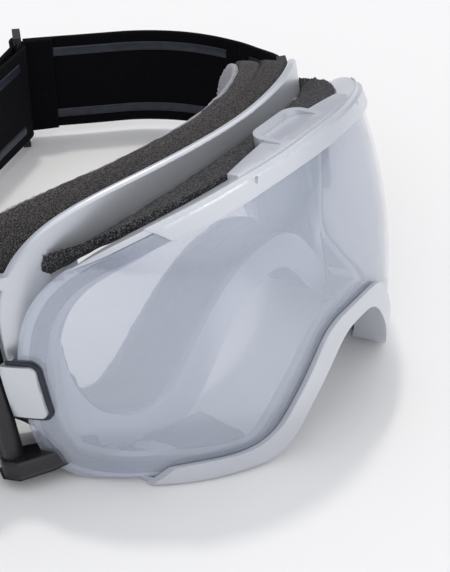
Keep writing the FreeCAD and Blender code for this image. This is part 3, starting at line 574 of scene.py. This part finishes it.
def side_and_rear(side, stations, arm, split, rear_first):
    """Webbing and grip lines of one half of the strap, parted where the side stretch begins."""
    cut = cut_at(stations, split)
    first, second = stations[:cut + 1], stations[cut:]
    rear, flank = (first, second) if rear_first else (second, first)
    rear_piece = sweep(f"web_rear_{side}", rear, arm, PROFILE, WAVE)
    smooth_piece(rear_piece, "root", "webbing", f"strap_rear_{side}")
    flank_piece = sweep(f"web_side_{side}", flank, arm, PROFILE, WAVE)
    smooth_piece(flank_piece, None, "webbing", f"strap_side_{side}")
    blended(flank_piece)
    for index, (low, high) in enumerate(GRIPS):
        profile = grip_profile(low, high)
        line = sweep(f"grip_rear_{side}_{index}", rear[GRIP_END:-GRIP_END], arm, profile, WAVE)
        replaced = [f"grip_lines_{side}"] if index == 0 else []
        smooth_piece(line, "root", "silicone", *replaced)
        line = sweep(f"grip_side_{side}_{index}", flank[GRIP_END:-GRIP_END], arm, profile, WAVE)
        smooth_piece(line, None, "silicone")
        blended(line)


side_and_rear("right", right_path.stations, right_arm, RIGHT_SIDE, False)
side_and_rear("left", left_track.stations, left_arm, left_arm[0] - LEFT_SIDE, True)

# These pieces are far from an outrigger, so they stand upright all along.
FAR_AWAY = (-1000.0, REST_MIDDLE)
TAIL_RUN = 47.2
TAIL_CLEAR = 0.4
tail = Track(left_start, LEFT_HEADING + 180).arc(FOLD, 180)
tail.turn(math.degrees(math.atan2(2 * FOLD - WEB - TAIL_CLEAR, TAIL_RUN)))
tail.straight(TAIL_RUN)
tail_piece = sweep("web_tail", tail.stations, FAR_AWAY, PROFILE)
smooth_piece(tail_piece, None, "webbing", "strap_tail")
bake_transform(tail_piece)

fold_start = far_bar + direction(end_heading - 90) * FOLD
FOLD_BACK = 16.0
FOLD_DRIFT = 4.0
fold = Track(fold_start, end_heading).arc(FOLD, 180)
fold.turn(FOLD_DRIFT)
fold.straight(FOLD_BACK)
smooth_piece(sweep("web_fold", fold.stations, FAR_AWAY, PROFILE), "root", "webbing")

LOOP_AT = 26.8
LOOP_RUN = 2.3
LOOP_RADIUS = 2.25


def strap_loop(side, sign):
    """Webbing turned round the strap bar of an outrigger, with a soft racetrack section."""
    turn = Matrix.Rotation(math.radians(-sign * SPLAY[side]), 4, "Z")
    loop = Track(Vector((LOOP_RADIUS, LOOP_AT, 0)), 90)
    for _ in range(2):
        loop.straight(LOOP_RUN).arc(LOOP_RADIUS, 180)
    obj = sweep(f"web_loop_{side}", loop.stations, FAR_AWAY, PROFILE)
    hinge = Matrix.Translation(Vector((sign * PIN_X, PIN_Y, ARM_MIDDLE - REST_MIDDLE)) * MM)
    obj.data.transform(Matrix.Translation(APEX) @ LEAN_BACK @ hinge @ turn)
    smooth_piece(obj, f"outrigger_arm_{side}", "webbing", f"strap_loop_{side}")


for side, sign in SIDES:
    strap_loop(side, sign)

# ---------------------------------------------------------------- camera, floor and light

VIEW_AZIMUTH = math.radians(-55.87)
VIEW_ELEVATION = math.radians(34.84)
VIEW_DISTANCE = 429.94 * MM
VIEW_RIGHT = -42.3 * MM
VIEW_UP = -3.97 * MM
FOCAL_MM = 82.03

right_axis = Vector((math.cos(VIEW_AZIMUTH), math.sin(VIEW_AZIMUTH), 0))
back_axis = Vector((math.sin(VIEW_AZIMUTH) * math.cos(VIEW_ELEVATION),
                    -math.cos(VIEW_AZIMUTH) * math.cos(VIEW_ELEVATION), math.sin(VIEW_ELEVATION)))
up_axis = back_axis.cross(right_axis)

camera_data = bpy.data.cameras.new("camera")
camera_data.lens = FOCAL_MM
camera_data.sensor_width = 36
camera_data.clip_start = 0.01
camera = bpy.data.objects.new("camera", camera_data)
camera.location = APEX + right_axis * VIEW_RIGHT + up_axis * VIEW_UP + back_axis * VIEW_DISTANCE
camera.rotation_mode = "QUATERNION"
camera.rotation_quaternion = Matrix((right_axis, up_axis, back_axis)).transposed().to_quaternion()
bpy.context.scene.collection.objects.link(camera)
bpy.context.scene.camera = camera

floor_mesh = bpy.data.meshes.new("floor")
FLOOR = 12.0
corners = [(-FLOOR, -FLOOR, 0), (FLOOR, -FLOOR, 0), (FLOOR, FLOOR, 0), (-FLOOR, FLOOR, 0)]
floor_mesh.from_pydata(corners, [], [(0, 1, 2, 3)])
floor = bpy.data.objects.new("floor", floor_mesh)
paper, paper_tree, paper_shader = node_tree("paper")
paper_shader.inputs["Base Color"].default_value = (0.80, 0.80, 0.81, 1)
paper_shader.inputs["Roughness"].default_value = 0.8
floor_mesh.materials.append(paper)
bpy.context.scene.collection.objects.link(floor)


def area_light(name, place, target, size, power, colour=(1, 1, 1)):
    """A square soft box that points at a target."""
    data = bpy.data.lights.new(name, "AREA")
    data.size = size
    data.energy = power
    data.color = colour
    light = bpy.data.objects.new(name, data)
    light.location = place
    light.rotation_euler = (Vector(target) - Vector(place)).to_track_quat("-Z", "Y").to_euler()
    bpy.context.scene.collection.objects.link(light)


area_light("key", (0.65, 0.80, 2.8), (0, -0.03, 0.04), 0.22, 22, (1.0, 0.97, 0.90))

world = bpy.data.worlds.new("studio")
bpy.context.scene.world = world
world.use_nodes = True
sky = world.node_tree
where = sky.nodes.new("ShaderNodeTexCoord")
split = sky.nodes.new("ShaderNodeSeparateXYZ")
sky.links.new(where.outputs["Generated"], split.inputs["Vector"])
toward_front = add(sky, "ShaderNodeMath", operation="MULTIPLY_ADD")
toward_front.inputs[1].default_value = -0.5
sky.links.new(split.outputs["Y"], toward_front.inputs[0])
sky.links.new(split.outputs["Z"], toward_front.inputs[2])
dome = ramp(sky, toward_front.outputs[0], [(0.0, (0.27, 0.28, 0.33)), (0.3, (0.46, 0.475, 0.53)),
                                      (0.62, (0.98, 0.985, 1.0)), (1.0, (1.0, 1.0, 1.0))])
sky.links.new(dome, sky.nodes["Background"].inputs["Color"])
sky.nodes["Background"].inputs["Strength"].default_value = 1.12
bpy.context.scene.view_settings.view_transform = "Standard"
